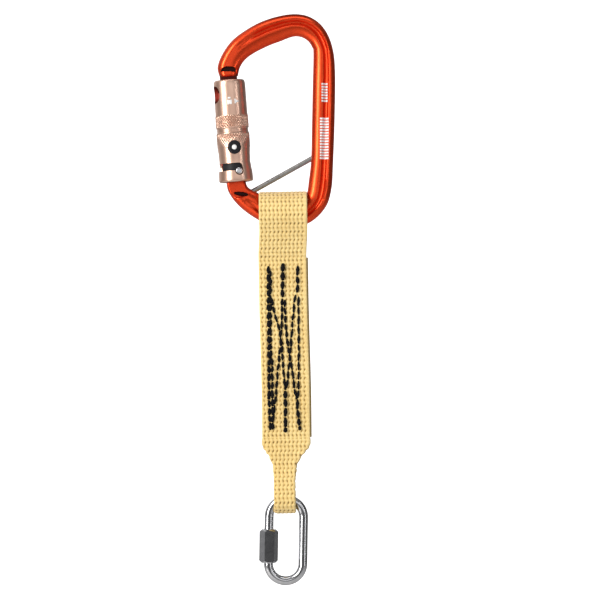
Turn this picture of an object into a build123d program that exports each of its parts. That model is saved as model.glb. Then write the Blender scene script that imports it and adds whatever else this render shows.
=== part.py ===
from build123d import *
from math import asin, cos, degrees, pi, radians, sin
import os

# Short sewn sling that hangs from a captive-eye locking carabiner and carries a screw quick link.
# Millimetres. +Z is up, the front faces -Y, and +X is to the right as seen from the front.
# The origin is the centre of the round seat in the carabiner's top bow, where the anchor sits.

os.makedirs("parts", exist_ok=True)

# ---- carabiner body
BODY_DEPTH = 9.0
BODY_EDGE_RADIUS = 2.4
SEAT_RADIUS = 9.4
SEAT_START_DEG = 112.0
SEAT_END_DEG = -1.2
GROOVE_WIDTH = 2.4
GROOVE_DEPTH = 1.1
NOSE_OUTER = (-42.0, -13.1)
NOSE_INNER = (-32.0, -12.4)
SPINE_FOOT = (8.2, -58.0)
OUTER_BEND = [(-43.2, -7.2), (-39.9, 0.9), (-33.6, 8.6), (-22.1, 16.1), (-11.0, 20.2), (-0.4, 21.7),
              (8.2, 19.8), (15.2, 14.0), (19.7, 4.4), (21.4, -9.0), (21.2, -35.0), (20.3, -61.0),
              (19.4, -74.4), (16.2, -84.4), (8.0, -92.6), (-3.4, -96.0), (-14.0, -94.4), (-22.6, -90.4),
              (-31.6, -83.6), (-37.4, -75.6)]
BASKET_BEND = [(-27.6, -70.6), (-26.6, -73.2), (-24.2, -75.0), (-20.9, -76.7), (-16.4, -80.6), (-7.5, -83.4),
               (1.6, -81.4), (5.6, -77.4), (6.9, -70.0)]
THROAT_BEND = [(-8.9, 6.6), (-14.3, 4.6), (-22.0, 0.9), (-27.6, -3.0), (-30.8, -7.5)]
GROOVE_BEND = [(-31.0, 1.6), (-21.0, 9.6), (-2.0, 15.2), (9.5, 11.5), (14.6, 1.0), (15.0, -9.0),
               (14.4, -50.0), (12.8, -72.0), (6.0, -84.4), (-6.0, -89.8), (-19.0, -86.2), (-27.5, -80.6)]
TANG_DEPTH = 6.2
TANG_RADIUS = 5.4
TANG_POCKET_RADIUS = 11.6

# ---- gate, measured along its axis from the centre of the tang's round end
GATE_TILT_DEG = 4.1
TANG_CENTRE = Vector(-33.1, 0, -67.7)
HINGE_OFFSET = 1.7
HINGE_PIN_RADIUS = 1.4
HINGE_PIN_LENGTH = 13.2
PIN_CHAMFER = 0.2
RUNNING_GAP = 0.05
COLLAR_RADIUS = 7.6
COLLAR_BOTTOM = -2.6
COLLAR_TOP = 8.0
ROD_RADIUS = 5.4
HEAD_RADIUS = 6.45
HEAD_BOTTOM = 38.0
GATE_TOP = 52.6
TANG_SLOT_WIDTH = 6.5
TANG_SLOT_ROOF = 6.6

# ---- keyed nose
KEY_LEFT = -4.0
KEY_RIGHT = 3.2
KEY_NECK_WIDTH = 3.4
KEY_HEAD_WIDTH = 6.4
KEY_HEAD_BOTTOM = 46.8
KEY_HEAD_TOP = 49.6
NOSE_UNDERSIDE = 55.0
KEYWAY_RIGHT = 3.7
KEYWAY_BOTTOM = 46.2
KEYWAY_ROOF = 50.9
KEYWAY_NECK_WIDTH = 4.0
KEYWAY_HEAD_WIDTH = 7.0

# ---- locking sleeve
SLEEVE_BOTTOM = -2.9
SLEEVE_TOP = 53.1
SLEEVE_BORE = 7.7
SLEEVE_UPPER_BORE = 6.55
SLEEVE_STEP = 33.5
SLEEVE_PULL = 1.9
SLEEVE_TWIST_DEG = 110.0
SLEEVE_OUTLINE = [(9.0, SLEEVE_BOTTOM), (9.4, -2.4), (9.3, 2.0), (8.8, 5.6), (8.5, 8.2), (8.6, 12.0),
                  (8.85, 15.8), (9.05, 16.1), (9.05, 23.9), (8.6, 24.4), (8.6, 26.4), (9.0, 26.9),
                  (9.0, 33.8), (8.8, 34.2), (8.75, 50.0), (7.9, SLEEVE_TOP)]
KEY_CUT_BOTTOM = 45.4
KEY_CUT_MARGIN_DEG = 38.0
RING_THICKNESS = 1.5
RING_INNER = 5.5
RING_OUTER = 7.55
SLEEVE_SPRING_RADIUS = 6.55
SLEEVE_SPRING_WIRE = 1.1
SLEEVE_SPRING_TURNS = 7

# ---- guide pin, plunger and gate spring
GUIDE_PIN_HEIGHT = 2.9
GUIDE_PIN_AZIMUTH_DEG = -75.0
GUIDE_PIN_RADIUS = 1.1
GUIDE_HEAD_RADIUS = 1.95
GUIDE_HEAD_THICKNESS = 1.3
GUIDE_HEAD_ROUND = 0.9
GUIDE_PIN_INNER = 3.6
SLOT_GAP = 0.1
PLUNGER_RADIUS = 1.85
PLUNGER_TOP = 12.0
PLUNGER_CHAMFER = 0.25
PLUNGER_GAP = 0.02
PLUNGER_BORE_TOP = 22.0
GATE_SPRING_RADIUS = 1.3
GATE_SPRING_WIRE = 0.6
GATE_SPRING_TURNS = 8

# ---- captive bar across the basket
BAR_RADIUS = 1.35
BAR_THROUGH = Vector(-22.8, 0, -75.1)
BAR_SLOPE_DEG = 29.1
BAR_BEHIND = 10.6
BAR_AHEAD = 39.3
BAR_HOLE_SPARE = 0.2
BAR_HOLE_MOUTH = 6.0
BAR_CHAMFER = 0.25
PRESS_GAP = 0.01

# ---- webbing sling, in a frame at the basket with v measured up along the sling
SLING_ORIGIN = Vector(-8.0, 0, -87.5)
SLING_TILT_DEG = 1.0
WEB_WIDTH = 26.4
WEB_THICK = 1.7
CROWN_RADIUS = 11.6
SEWN_TOP = -24.8
SEWN_BOTTOM = -123.4
NECK_PIVOT = -126.0
NECK_END_RADIUS = 2.45
TAPER_BOTTOM = -136.1
PLY_SHIFT = 0.8
NECK_WIDTH = 12.1
NECK_THICK = 2.8
LINK_HOLE_RADIUS = 4.95
LINK_HOLE_TOP = -145.0
CROWN_CORNER_CUT = 2.2
CROWN_CORNER_FOOT = -2.0

# how the link loop's inner edges open out: across from its middle, and the radius from the wire's centre
LOOP_EASING = [(4.8, LINK_HOLE_RADIUS), (5.5, 5.4), (6.3, 6.8), (7.5, 9.0)]

# ---- sewing, raised on both faces of the sewn zone
THREAD_RISE = 0.5
ROW_TOP = -28.1
ROW_BOTTOM = -120.4
ROW_PLACES = {"left": (-7.5, 2.9), "middle": (0.1, 2.6), "right": (7.9, 1.5)}
BOW_WIDTH = 1.3
BOW_LINES = {"left": [(-5.2, -45.0), (-2.3, -72.0), (-5.0, -112.0)],
             "right": [(6.2, -48.0), (3.2, -78.0), (6.2, -108.0)]}

# ---- quick link
LINK_WIRE_RADIUS = 2.5
LINK_BOW_RADIUS = 9.45
LINK_LENGTH = 49.7
LINK_TILT_DEG = -0.9
LINK_TOP = Vector(-5.25, 0, -245.0)
LINK_GAP_TOP = -27.3
LINK_GAP_BOTTOM = -32.3
NUT_ACROSS_FLATS = 9.0
NUT_TOP = -16.4
NUT_BOTTOM = -34.9
NUT_BORE = 2.56
NUT_RELIEF_BORE = 2.95
NUT_RELIEF_LENGTH = 5.0
NUT_CHAMFER = 1.3

GATE_RIGHT = Vector(cos(radians(GATE_TILT_DEG)), 0, sin(radians(GATE_TILT_DEG)))
GATE_UP = Vector(-sin(radians(GATE_TILT_DEG)), 0, cos(radians(GATE_TILT_DEG)))
GATE_AXIS = Axis(TANG_CENTRE, GATE_UP)
GATE_SIDE = Plane(TANG_CENTRE, x_dir=GATE_RIGHT, z_dir=(0, -1, 0))
HINGE = TANG_CENTRE - GATE_RIGHT * HINGE_OFFSET

SLING_RIGHT = Vector(cos(radians(SLING_TILT_DEG)), 0, sin(radians(SLING_TILT_DEG)))
SLING_SIDE = Plane(SLING_ORIGIN, x_dir=(0, 1, 0), z_dir=SLING_RIGHT)
SLING_FRONT = Plane(SLING_ORIGIN, x_dir=SLING_RIGHT, z_dir=(0, -1, 0))

LINK_RIGHT = Vector(cos(radians(LINK_TILT_DEG)), 0, sin(radians(LINK_TILT_DEG)))
LINK_FRONT = Plane(LINK_TOP, x_dir=LINK_RIGHT, z_dir=(0, -1, 0))


def save(piece, name):
    """Label a finished piece and write its STEP file."""
    piece.part.label = name
    export_step(piece.part, f"parts/{name}.step")


def gate_level(height):
    """The plane square to the gate's axis at a height along it."""
    return Plane(TANG_CENTRE + GATE_UP * height, x_dir=GATE_RIGHT, z_dir=GATE_UP)


def radial_plane(azimuth):
    """The half plane through the gate's axis that faces an azimuth, counted from the gate's right."""
    out = GATE_RIGHT * cos(radians(azimuth)) + Vector(0, 1, 0) * sin(radians(azimuth))
    return Plane(TANG_CENTRE, x_dir=out, z_dir=out.cross(GATE_UP))


def on_circle(radius, degrees_up):
    """A point on a circle about the sketch's origin."""
    return (radius * cos(radians(degrees_up)), radius * sin(radians(degrees_up)))


# ---- carabiner body: one forged bar bent to an offset D, from the keyed nose round to the hinge tang
SEAT_START = on_circle(SEAT_RADIUS, SEAT_START_DEG)
SEAT_END = on_circle(SEAT_RADIUS, SEAT_END_DEG)
TANG_LEFT = (TANG_CENTRE.X - TANG_RADIUS, TANG_CENTRE.Z)
TANG_RIGHT = (TANG_CENTRE.X + TANG_RADIUS, TANG_CENTRE.Z)
SPINE_LEAN = (SEAT_END[0] - SPINE_FOOT[0], SEAT_END[1] - SPINE_FOOT[1])
SEAT_LEAVE = (-SEAT_START[1], SEAT_START[0])

with BuildPart() as carabiner_body:
    with BuildSketch(Plane.XZ):
        with BuildLine():
            Spline(NOSE_OUTER, *OUTER_BEND, TANG_LEFT, tangents=[(-0.25, 1), (0, 1)], tangent_scalars=[1, 1])
            ThreePointArc(TANG_LEFT, (TANG_CENTRE.X, TANG_CENTRE.Z + TANG_RADIUS), TANG_RIGHT)
            Spline(TANG_RIGHT, *BASKET_BEND, SPINE_FOOT, tangents=[(0, -1), SPINE_LEAN],
                   tangent_scalars=[1, 1])
            Line(SPINE_FOOT, SEAT_END)
            ThreePointArc(SEAT_END, on_circle(SEAT_RADIUS, 50), SEAT_START)
            Spline(SEAT_START, *THROAT_BEND, NOSE_INNER, tangents=[SEAT_LEAVE, (-0.15, -1)],
                   tangent_scalars=[1, 1])
            Line(NOSE_INNER, NOSE_OUTER)
        make_face()
    extrude(amount=BODY_DEPTH / 2, both=True)
    fillet(carabiner_body.faces().filter_by(Axis.Y).edges(), radius=BODY_EDGE_RADIUS)

    # the long recess that makes the bar's section an I
    for side in (-1, 1):
        with BuildSketch(Plane.XZ.offset(side * (BODY_DEPTH / 2 - GROOVE_DEPTH))):
            with BuildLine():
                Spline(*GROOVE_BEND)
            trace(line_width=GROOVE_WIDTH)
        extrude(amount=side * GROOVE_DEPTH * 2, mode=Mode.SUBTRACT)

    # flats milled on both faces of the tang, with round ends
    for side in (-1, 1):
        with BuildSketch(Plane.XZ.offset(side * TANG_DEPTH / 2)):
            with Locations((TANG_CENTRE.X, TANG_CENTRE.Z)):
                Circle(TANG_POCKET_RADIUS)
        extrude(amount=side * BODY_DEPTH, mode=Mode.SUBTRACT)

    with BuildSketch(Plane.XZ.offset(-BODY_DEPTH)):
        with Locations((HINGE.X, HINGE.Z)):
            Circle(HINGE_PIN_RADIUS + RUNNING_GAP)
    extrude(amount=2 * BODY_DEPTH, mode=Mode.SUBTRACT)

    # the key under the nose: a thin neck with a wider head
    for width, bottom, top in ((KEY_NECK_WIDTH, KEY_HEAD_TOP - 0.5, NOSE_UNDERSIDE + 2),
                               (KEY_HEAD_WIDTH, KEY_HEAD_BOTTOM, KEY_HEAD_TOP)):
        with BuildSketch(gate_level(bottom)):
            with Locations(((KEY_LEFT + KEY_RIGHT) / 2, 0)):
                RectangleRounded(KEY_RIGHT - KEY_LEFT, width, 1.0)
        extrude(amount=top - bottom)

    bar_direction = Vector(cos(radians(BAR_SLOPE_DEG)), 0, sin(radians(BAR_SLOPE_DEG)))
    bar_start = BAR_THROUGH - bar_direction * BAR_BEHIND
    with BuildSketch(Plane(bar_start - bar_direction * BAR_HOLE_MOUTH, z_dir=bar_direction)):
        Circle(BAR_RADIUS + PRESS_GAP)
    extrude(amount=BAR_HOLE_MOUTH + BAR_BEHIND + BAR_AHEAD + BAR_HOLE_SPARE, mode=Mode.SUBTRACT)
save(carabiner_body, "carabiner_body")

with BuildPart() as captive_bar:
    with BuildSketch(Plane(bar_start, z_dir=bar_direction)):
        Circle(BAR_RADIUS)
    extrude(amount=BAR_BEHIND + BAR_AHEAD)
    chamfer(captive_bar.faces().sort_by(Axis.X)[0].edges(), length=BAR_CHAMFER)
save(captive_bar, "captive_bar")

# ---- gate: a turned rod with a slotted collar at the hinge and a keyway in its head
with BuildPart() as gate:
    with BuildSketch(GATE_SIDE):
        with BuildLine():
            Polyline((0, COLLAR_BOTTOM), (COLLAR_RADIUS, COLLAR_BOTTOM), (COLLAR_RADIUS, COLLAR_TOP),
                     (ROD_RADIUS, COLLAR_TOP), (ROD_RADIUS, HEAD_BOTTOM - 1),
                     (HEAD_RADIUS, HEAD_BOTTOM), (HEAD_RADIUS, GATE_TOP - 0.5),
                     (HEAD_RADIUS - 0.5, GATE_TOP), (0, GATE_TOP), close=True)
        make_face()
    revolve(axis=GATE_AXIS)
    with BuildSketch(gate_level(COLLAR_BOTTOM - 1)):
        Rectangle(4 * COLLAR_RADIUS, TANG_SLOT_WIDTH)
    extrude(amount=TANG_SLOT_ROOF - COLLAR_BOTTOM + 1, mode=Mode.SUBTRACT)
    with BuildSketch(gate_level(TANG_SLOT_ROOF - 1)):
        Circle(PLUNGER_RADIUS + RUNNING_GAP)
    extrude(amount=PLUNGER_BORE_TOP - TANG_SLOT_ROOF + 1, mode=Mode.SUBTRACT)
    for width, bottom, top in ((KEYWAY_HEAD_WIDTH, KEYWAY_BOTTOM, KEYWAY_ROOF),
                               (KEYWAY_NECK_WIDTH, KEYWAY_ROOF - 0.5, GATE_TOP + 1)):
        with BuildSketch(gate_level(bottom)):
            with Locations((KEYWAY_RIGHT - HEAD_RADIUS - 1, 0)):
                Rectangle(2 * HEAD_RADIUS + 2, width)
        extrude(amount=top - bottom, mode=Mode.SUBTRACT)
    with BuildSketch(Plane.XZ.offset(-2 * COLLAR_RADIUS)):
        with Locations((HINGE.X, HINGE.Z)):
            Circle(HINGE_PIN_RADIUS)
    extrude(amount=4 * COLLAR_RADIUS, mode=Mode.SUBTRACT)
    guide_out = radial_plane(GUIDE_PIN_AZIMUTH_DEG).x_dir
    guide_base = TANG_CENTRE + GATE_UP * GUIDE_PIN_HEIGHT
    with BuildSketch(Plane(guide_base + guide_out * (GUIDE_PIN_INNER - 1.5), z_dir=guide_out)):
        Circle(GUIDE_PIN_RADIUS)
    extrude(amount=COLLAR_RADIUS, mode=Mode.SUBTRACT)
save(gate, "gate")

with BuildPart() as gate_hinge_pin:
    with BuildSketch(Plane.XZ.offset(-HINGE_PIN_LENGTH / 2)):
        with Locations((HINGE.X, HINGE.Z)):
            Circle(HINGE_PIN_RADIUS)
    extrude(amount=HINGE_PIN_LENGTH)
    chamfer(gate_hinge_pin.edges().filter_by(GeomType.CIRCLE), length=PIN_CHAMFER)
save(gate_hinge_pin, "gate_hinge_pin")

# ---- guide pin: a shank pressed in the gate's front ear, with a domed head in the sleeve's slot
head_base = SLEEVE_BORE + RUNNING_GAP
with BuildPart() as guide_pin:
    with BuildSketch(Plane(guide_base + guide_out * GUIDE_PIN_INNER, z_dir=guide_out)):
        Circle(GUIDE_PIN_RADIUS)
    extrude(amount=head_base - GUIDE_PIN_INNER)
    with BuildSketch(Plane(guide_base + guide_out * head_base, z_dir=guide_out)):
        Circle(GUIDE_HEAD_RADIUS)
    extrude(amount=GUIDE_HEAD_THICKNESS)
    fillet(guide_pin.edges().filter_by(GeomType.CIRCLE).sort_by(Axis(guide_base, guide_out))[-1],
           radius=GUIDE_HEAD_ROUND)
save(guide_pin, "guide_pin")

with BuildPart() as gate_plunger:
    with BuildSketch(gate_level(TANG_RADIUS + PLUNGER_GAP)):
        Circle(PLUNGER_RADIUS)
    extrude(amount=PLUNGER_TOP - TANG_RADIUS - PLUNGER_GAP)
    chamfer(gate_plunger.edges().filter_by(GeomType.CIRCLE), length=PLUNGER_CHAMFER)
save(gate_plunger, "gate_plunger")


def coil(bottom, top, radius, wire, turns):
    """A round-wire compression spring about the gate's axis, between two heights along it."""
    height = top - bottom - wire
    with BuildPart() as spring:
        with BuildLine() as path:
            Helix(height / turns, height, radius, center=TANG_CENTRE + GATE_UP * (bottom + wire / 2),
                  direction=GATE_UP)
        with BuildSketch(Plane(path.line @ 0, z_dir=path.line % 0)):
            Circle(wire / 2)
        sweep()
    return spring


gate_spring = coil(PLUNGER_TOP + RUNNING_GAP, PLUNGER_BORE_TOP - RUNNING_GAP, GATE_SPRING_RADIUS,
                   GATE_SPRING_WIRE, GATE_SPRING_TURNS)
save(gate_spring, "gate_spring")

ring_bottom = SLEEVE_STEP - RUNNING_GAP - RING_THICKNESS
sleeve_spring = coil(COLLAR_TOP + RUNNING_GAP, ring_bottom - RUNNING_GAP, SLEEVE_SPRING_RADIUS,
                     SLEEVE_SPRING_WIRE, SLEEVE_SPRING_TURNS)
save(sleeve_spring, "sleeve_spring")

# ---- spring seat: the washer that slides on the rod and carries the spring's push to the sleeve
with BuildPart() as spring_seat:
    with BuildSketch(gate_level(ring_bottom)):
        Circle(RING_OUTER)
        Circle(RING_INNER, mode=Mode.SUBTRACT)
    extrude(amount=RING_THICKNESS)
save(spring_seat, "spring_seat")

# ---- locking sleeve: a turned shell with two grip bands, a guide slot and a cut for the key
with BuildPart() as lock_sleeve:
    with BuildSketch(GATE_SIDE):
        with BuildLine():
            Polyline((SLEEVE_BORE, SLEEVE_BOTTOM), *SLEEVE_OUTLINE, (SLEEVE_UPPER_BORE, SLEEVE_TOP),
                     (SLEEVE_UPPER_BORE, SLEEVE_STEP), (SLEEVE_BORE, SLEEVE_STEP), close=True)
        make_face()
    revolve(axis=GATE_AXIS)
    slot_half_height = GUIDE_HEAD_RADIUS + SLOT_GAP
    slot_half_angle = degrees(asin(slot_half_height / SLEEVE_BORE))
    slot_bottom = GUIDE_PIN_HEIGHT - slot_half_height
    slot_top = GUIDE_PIN_HEIGHT + SLEEVE_PULL + slot_half_height
    slot_start = GUIDE_PIN_AZIMUTH_DEG - SLEEVE_TWIST_DEG - slot_half_angle
    with BuildSketch(radial_plane(slot_start)):
        with Locations((SLEEVE_BORE, (slot_bottom + slot_top) / 2)):
            Rectangle(6, slot_top - slot_bottom)
    revolve(axis=GATE_AXIS, revolution_arc=SLEEVE_TWIST_DEG + 2 * slot_half_angle, mode=Mode.SUBTRACT)
    with BuildSketch(radial_plane(180 - SLEEVE_TWIST_DEG - KEY_CUT_MARGIN_DEG)):
        with Locations((8, (KEY_CUT_BOTTOM + SLEEVE_TOP + 1) / 2)):
            Rectangle(6, SLEEVE_TOP + 1 - KEY_CUT_BOTTOM)
    revolve(axis=GATE_AXIS, revolution_arc=SLEEVE_TWIST_DEG + 2 * KEY_CUT_MARGIN_DEG, mode=Mode.SUBTRACT)
save(lock_sleeve, "lock_sleeve")


# ---- webbing over the basket: two legs and a round crown, which meet at the sewn zone
outer_half = 1.5 * WEB_THICK
inner_half = 0.5 * WEB_THICK
crown_inner = CROWN_RADIUS - WEB_THICK


def teardrop(radius, half_thick, level, bottom):
    """Outline of a round crown that narrows to a pair of straight legs."""
    lean = degrees(asin((radius - half_thick) / -level))
    touch = on_circle(radius, -lean)
    left = (-touch[0], touch[1])
    Line((half_thick, bottom), (half_thick, level))
    Line((half_thick, level), touch)
    ThreePointArc(touch, (0, radius), left)
    Line(left, (-half_thick, level))
    Line((-half_thick, level), (-half_thick, bottom))
    Line((-half_thick, bottom), (half_thick, bottom))


with BuildPart() as sling_upper_loop:
    with BuildSketch(SLING_SIDE):
        with BuildLine():
            teardrop(CROWN_RADIUS, outer_half, SEWN_TOP, SEWN_BOTTOM)
        make_face()
    extrude(amount=WEB_WIDTH / 2, both=True)
    with BuildSketch(SLING_SIDE):
        with BuildLine():
            teardrop(crown_inner, inner_half, SEWN_TOP, SEWN_BOTTOM - 1)
        make_face()
    extrude(amount=WEB_WIDTH, both=True, mode=Mode.SUBTRACT)
    # the crown's lower left corner makes room for the bar's shoulder
    with BuildSketch(SLING_FRONT.offset(-2 * CROWN_RADIUS)):
        with Locations((-WEB_WIDTH / 2, CROWN_CORNER_FOOT + CROWN_RADIUS)):
            Rectangle(2 * CROWN_CORNER_CUT, 2 * CROWN_RADIUS)
    extrude(amount=4 * CROWN_RADIUS, mode=Mode.SUBTRACT)
save(sling_upper_loop, "sling_upper_loop")

with BuildPart() as sling_overlap_ply:
    with BuildSketch(SLING_SIDE.offset(PLY_SHIFT)):
        with Locations((0, (SEWN_TOP + SEWN_BOTTOM) / 2)):
            Rectangle(WEB_THICK, SEWN_TOP - SEWN_BOTTOM)
    extrude(amount=WEB_WIDTH / 2, both=True)
save(sling_overlap_ply, "sling_overlap_ply")

# ---- webbing round the quick link: folded to half its width, thicker, and looped under the wire
link_level = (LINK_TOP - SLING_ORIGIN).length
loop_outer = LINK_HOLE_RADIUS + NECK_THICK
with BuildPart() as sling_link_loop:
    with BuildSketch(SLING_SIDE):
        with BuildLine():
            lean = degrees(asin((loop_outer - NECK_END_RADIUS) / (link_level + TAPER_BOTTOM)))
            touch_y, touch_v = on_circle(loop_outer, lean)
            Line((NECK_END_RADIUS, NECK_PIVOT), (NECK_END_RADIUS, TAPER_BOTTOM))
            Line((NECK_END_RADIUS, TAPER_BOTTOM), (touch_y, touch_v - link_level))
            ThreePointArc((touch_y, touch_v - link_level), (0, -link_level - loop_outer),
                          (-touch_y, touch_v - link_level))
            Line((-touch_y, touch_v - link_level), (-NECK_END_RADIUS, TAPER_BOTTOM))
            Line((-NECK_END_RADIUS, TAPER_BOTTOM), (-NECK_END_RADIUS, NECK_PIVOT))
            ThreePointArc((-NECK_END_RADIUS, NECK_PIVOT), (0, NECK_PIVOT + NECK_END_RADIUS),
                          (NECK_END_RADIUS, NECK_PIVOT))
        make_face()
        with BuildLine():
            hole_lean = degrees(asin(LINK_HOLE_RADIUS / (link_level + LINK_HOLE_TOP)))
            hole_y, hole_v = on_circle(LINK_HOLE_RADIUS, hole_lean)
            Line((0, LINK_HOLE_TOP), (hole_y, hole_v - link_level))
            ThreePointArc((hole_y, hole_v - link_level), (0, -link_level - LINK_HOLE_RADIUS),
                          (-hole_y, hole_v - link_level))
            Line((-hole_y, hole_v - link_level), (0, LINK_HOLE_TOP))
        make_face(mode=Mode.SUBTRACT)
    extrude(amount=WEB_WIDTH / 2, both=True)
    with BuildSketch(SLING_FRONT.offset(-2 * CROWN_RADIUS)):
        with BuildLine():
            Polyline((-WEB_WIDTH / 2, NECK_PIVOT + 5), (WEB_WIDTH / 2, NECK_PIVOT + 5),
                     (WEB_WIDTH / 2, NECK_PIVOT), (NECK_WIDTH / 2, TAPER_BOTTOM),
                     (NECK_WIDTH / 2, -link_level - 2 * loop_outer),
                     (-NECK_WIDTH / 2, -link_level - 2 * loop_outer), (-NECK_WIDTH / 2, TAPER_BOTTOM),
                     (-WEB_WIDTH / 2, NECK_PIVOT), close=True)
        make_face()
    extrude(amount=4 * CROWN_RADIUS, mode=Mode.INTERSECT)
    # the loop's inner edges give way where the quick link's bow curves down past them
    for side in (-1, 1):
        with BuildSketch(LINK_FRONT):
            with BuildLine():
                eased = [(side * across, radius) for across, radius in LOOP_EASING]
                Polyline((eased[0][0], 0), *eased, (eased[-1][0], 0), close=True)
            make_face()
        revolve(axis=Axis(LINK_TOP, LINK_RIGHT), mode=Mode.SUBTRACT)
save(sling_link_loop, "sling_link_loop")


# ---- sewing: each row is a raised line of thread on the front and on the back of the sewn zone
def sewn_row(name, width, points):
    """Write one row as two raised strips along the same line."""
    with BuildPart() as row:
        for face in (-outer_half - THREAD_RISE, outer_half):
            with BuildSketch(SLING_FRONT.offset(-face - THREAD_RISE)):
                with BuildLine():
                    if len(points) == 2:
                        Line(*points)
                    else:
                        Spline(*points)
                trace(line_width=width)
            extrude(amount=THREAD_RISE)
    save(row, name)


for place, (across, width) in ROW_PLACES.items():
    sewn_row(f"stitch_row_{place}", width, [(across, ROW_TOP), (across, ROW_BOTTOM)])
for place, bow in BOW_LINES.items():
    sewn_row(f"stitch_bow_{place}", BOW_WIDTH, bow)

# ---- quick link: an oval of round bar with a threaded gap in its left leg
straight = LINK_LENGTH - 2 * (LINK_BOW_RADIUS + LINK_WIRE_RADIUS)
leg_top = -LINK_BOW_RADIUS
leg_bottom = leg_top - straight
with BuildPart() as link_body:
    with BuildLine(LINK_FRONT) as link_path:
        Line((-LINK_BOW_RADIUS, LINK_GAP_TOP), (-LINK_BOW_RADIUS, leg_top))
        ThreePointArc((-LINK_BOW_RADIUS, leg_top), (0, 0), (LINK_BOW_RADIUS, leg_top))
        Line((LINK_BOW_RADIUS, leg_top), (LINK_BOW_RADIUS, leg_bottom))
        ThreePointArc((LINK_BOW_RADIUS, leg_bottom), (0, leg_bottom - LINK_BOW_RADIUS),
                      (-LINK_BOW_RADIUS, leg_bottom))
        Line((-LINK_BOW_RADIUS, leg_bottom), (-LINK_BOW_RADIUS, LINK_GAP_BOTTOM))
    with BuildSketch(Plane(link_path.line @ 0, z_dir=link_path.line % 0)):
        Circle(LINK_WIRE_RADIUS)
    sweep()
save(link_body, "link_body")

# ---- link nut: a long hexagon sleeve nut on the left leg, with rounded ends
leg_foot = LINK_FRONT.from_local_coords(Vector(-LINK_BOW_RADIUS, 0, 0))
link_up = LINK_FRONT.y_dir
nut_length = NUT_TOP - NUT_BOTTOM
nut_corner = NUT_ACROSS_FLATS / 2 / cos(pi / 6)
nut_side = Plane(leg_foot, x_dir=LINK_RIGHT, z_dir=(0, -1, 0))
with BuildPart() as link_nut:
    with BuildSketch(Plane(leg_foot + link_up * NUT_BOTTOM, x_dir=LINK_RIGHT, z_dir=link_up)):
        RegularPolygon(nut_corner, 6, rotation=6)
    extrude(amount=nut_length)
    with BuildSketch(nut_side):
        with BuildLine():
            Polyline((0, NUT_BOTTOM), (nut_corner - NUT_CHAMFER, NUT_BOTTOM),
                     (nut_corner, NUT_BOTTOM + NUT_CHAMFER), (nut_corner, NUT_TOP - NUT_CHAMFER),
                     (nut_corner - NUT_CHAMFER, NUT_TOP), (0, NUT_TOP), close=True)
        make_face()
    revolve(axis=Axis(leg_foot, link_up), mode=Mode.INTERSECT)
    with BuildSketch(Plane(leg_foot + link_up * (NUT_BOTTOM - 1), x_dir=LINK_RIGHT, z_dir=link_up)):
        Circle(NUT_BORE)
    extrude(amount=nut_length + 2, mode=Mode.SUBTRACT)
    with BuildSketch(Plane(leg_foot + link_up * (NUT_TOP - NUT_RELIEF_LENGTH), x_dir=LINK_RIGHT,
                           z_dir=link_up)):
        Circle(NUT_RELIEF_BORE)
    extrude(amount=NUT_RELIEF_LENGTH + 1, mode=Mode.SUBTRACT)
save(link_nut, "link_nut")
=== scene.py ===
import math
import random
from contextlib import contextmanager

import bmesh
import bpy
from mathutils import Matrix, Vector


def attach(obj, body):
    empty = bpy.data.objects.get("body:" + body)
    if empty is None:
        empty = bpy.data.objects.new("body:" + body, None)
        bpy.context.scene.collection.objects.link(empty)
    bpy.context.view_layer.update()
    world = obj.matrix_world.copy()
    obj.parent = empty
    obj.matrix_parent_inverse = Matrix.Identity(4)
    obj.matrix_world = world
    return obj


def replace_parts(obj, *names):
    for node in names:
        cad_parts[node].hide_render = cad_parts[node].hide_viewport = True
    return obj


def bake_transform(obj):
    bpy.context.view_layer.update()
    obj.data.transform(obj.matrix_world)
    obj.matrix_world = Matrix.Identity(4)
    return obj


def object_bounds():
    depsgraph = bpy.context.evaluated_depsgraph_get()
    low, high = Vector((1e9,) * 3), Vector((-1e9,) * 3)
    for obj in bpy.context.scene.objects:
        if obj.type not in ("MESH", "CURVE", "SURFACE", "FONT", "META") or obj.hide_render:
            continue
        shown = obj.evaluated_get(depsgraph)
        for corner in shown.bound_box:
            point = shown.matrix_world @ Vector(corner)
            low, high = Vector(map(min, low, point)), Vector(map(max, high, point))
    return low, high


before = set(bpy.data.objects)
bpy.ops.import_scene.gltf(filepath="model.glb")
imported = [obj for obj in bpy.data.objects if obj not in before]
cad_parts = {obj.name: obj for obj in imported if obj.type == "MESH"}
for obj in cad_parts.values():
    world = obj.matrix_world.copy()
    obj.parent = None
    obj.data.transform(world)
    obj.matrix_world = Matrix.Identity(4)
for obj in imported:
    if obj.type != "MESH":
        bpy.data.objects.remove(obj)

CAD_BOX = [list(corner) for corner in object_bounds()]
MM = 0.001
random.seed(11)

# ---------------------------------------------------------------- shared frames, in millimetres
GATE_TILT = math.radians(4.1)
TANG_X, TANG_Z = -33.1, -67.7
TANG = Vector((TANG_X, 0, TANG_Z))
G_RIGHT = Vector((math.cos(GATE_TILT), 0, math.sin(GATE_TILT)))
G_UP = Vector((-math.sin(GATE_TILT), 0, math.cos(GATE_TILT)))
SLING_TILT = math.radians(1.0)
SLING = Vector((-8.0, 0, -87.5))
S_RIGHT = Vector((math.cos(SLING_TILT), 0, math.sin(SLING_TILT)))
S_UP = Vector((-math.sin(SLING_TILT), 0, math.cos(SLING_TILT)))
BACK = Vector((0, 1, 0))


def gate_point(radius, azimuth, height):
    """A point round the gate's axis: azimuth in degrees from the gate's right, by way of the back."""
    a = math.radians(azimuth)
    return TANG + G_RIGHT * radius * math.cos(a) + BACK * radius * math.sin(a) + G_UP * height


def sling_point(x, y, v):
    """A point in the sling's own frame: across, back, and up along it."""
    return SLING + S_RIGHT * x + BACK * y + S_UP * v


def clamp(value):
    return min(1.0, max(0.0, value))


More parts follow.
